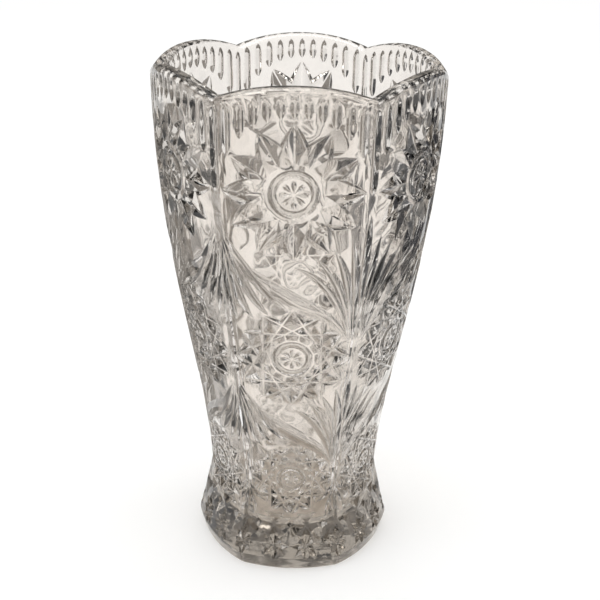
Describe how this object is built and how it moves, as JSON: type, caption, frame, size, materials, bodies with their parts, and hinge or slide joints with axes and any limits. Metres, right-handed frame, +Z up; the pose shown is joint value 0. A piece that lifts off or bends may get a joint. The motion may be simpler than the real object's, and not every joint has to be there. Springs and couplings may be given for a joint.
{
  "type": "vase",
  "caption": "Tall clear glass vase with six bowed panels, a scalloped rim, a narrow waist, a flared foot and cut star and leaf decoration.",
  "frame": {"origin": "centre of the flat resting face under the foot", "axes": "+Z up along the vase's axis towards the mouth, -Y out of the middle of the front panel, +X to the right seen from the front, through a corner"},
  "size_m": [0.138, 0.1314, 0.2498],
  "materials": {
    "crystal": "polished clear lead crystal, cut on the outside and smooth inside"
  },
  "bodies": {
    "root": {"glass_body": "crystal"}
  },
  "joints": []
}
